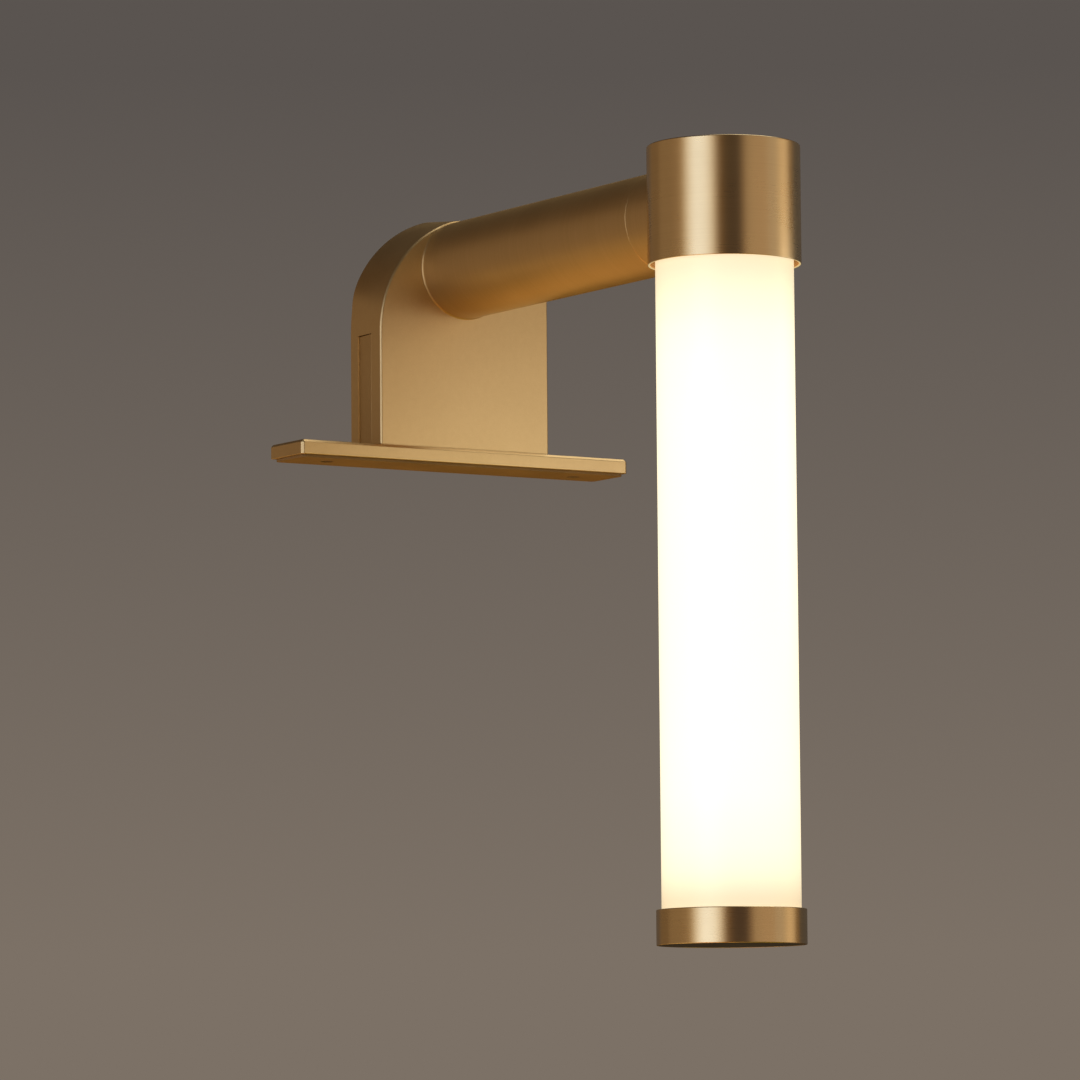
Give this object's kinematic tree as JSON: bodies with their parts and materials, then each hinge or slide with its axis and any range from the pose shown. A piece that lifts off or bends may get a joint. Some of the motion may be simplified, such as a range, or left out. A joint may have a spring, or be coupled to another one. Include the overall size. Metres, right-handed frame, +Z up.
{
  "type": "vanity light",
  "caption": "Mirror light with a flat screw-down foot, arched driver housing, round arm and a hanging opal light tube between metal end caps, turning about the arm.",
  "frame": {"origin": "centre of the foot's underside, where it stands on the mirror frame or cabinet top", "axes": "+Z up, the light tube hangs along -Z; +Y towards the wall, so the arm reaches along -Y; +X to the right seen from the front"},
  "size_m": [0.132, 0.2057, 0.2593],
  "materials": {
    "satin_gold": "satin gold plating, fine matt grain",
    "arm_brass": "satin bronze-brass tube",
    "brushed_brass": "brushed brass, fine lines around the axis",
    "opal": "opal white, satin surface, lit from inside",
    "dark_disc": "matt dark grey moulding",
    "pad_rubber": "matt black",
    "pad_tan": "soft tan sheet",
    "silicone": "translucent grey-white silicone",
    "white_plastic": "moulded white",
    "nylon": "natural white nylon",
    "zinc_steel": "zinc-plated steel",
    "turned_steel": "turned steel",
    "brass_fixings": "plain machined brass",
    "aluminium": "extruded and turned aluminium",
    "board_green": "green circuit board",
    "board_white": "white circuit board",
    "led_phosphor": "yellow phosphor",
    "coil_yellow": "taped winding",
    "component_dark": "sleeved component",
    "lead_wire": "insulated wire",
    "earth_wire": "green and yellow insulation"
  },
  "bodies": {
    "bracket": {"base_pad": "pad_tan", "base_plate": "satin_gold", "base_plate_screws": "zinc_steel", "housing_shell": "satin_gold", "back_plate": "satin_gold", "back_plate_screws": "zinc_steel", "side_cover_left": "satin_gold", "side_cover_right": "satin_gold", "cable_grommet": "pad_rubber", "terminal_block": "white_plastic", "terminal_screws": "brass_fixings", "earth_screw": "brass_fixings", "earth_lead": "earth_wire", "driver_input_leads": "lead_wire", "driver_case": "white_plastic", "driver_lid": "white_plastic", "driver_board": "board_green", "driver_transformer": "coil_yellow", "driver_capacitors": "component_dark", "arm_tube": "arm_brass", "arm_rear_plug": "turned_steel", "arm_nipple": "zinc_steel", "arm_lock_washer": "zinc_steel", "arm_nut": "brass_fixings", "arm_front_bush": "brass_fixings", "stop_pin": "zinc_steel", "thrust_washer": "nylon", "led_lead_arm": "lead_wire"},
    "head": {"neck_collar": "arm_brass", "swivel_spindle": "brass_fixings", "wave_washer": "zinc_steel", "swivel_nut": "brass_fixings", "top_cap": "brushed_brass", "head_core": "aluminium", "top_gasket": "silicone", "upper_spacer": "nylon", "led_core": "aluminium", "led_boards": "board_white", "led_chips": "led_phosphor", "led_lead_head": "lead_wire", "tie_rod": "zinc_steel", "lower_spacer": "nylon", "diffuser_tube": "opal", "bottom_gasket": "silicone", "bottom_ring": "brushed_brass", "tie_nut": "zinc_steel", "bottom_disc": "dark_disc"}
  },
  "joints": [
    {"name": "head_swivel", "type": "hinge", "parent": "bracket", "child": "head", "pos_m": [0, -0.1375, 0.0684], "axis": [0, 1, 0], "range_deg": [-90, 90]}
  ]
}
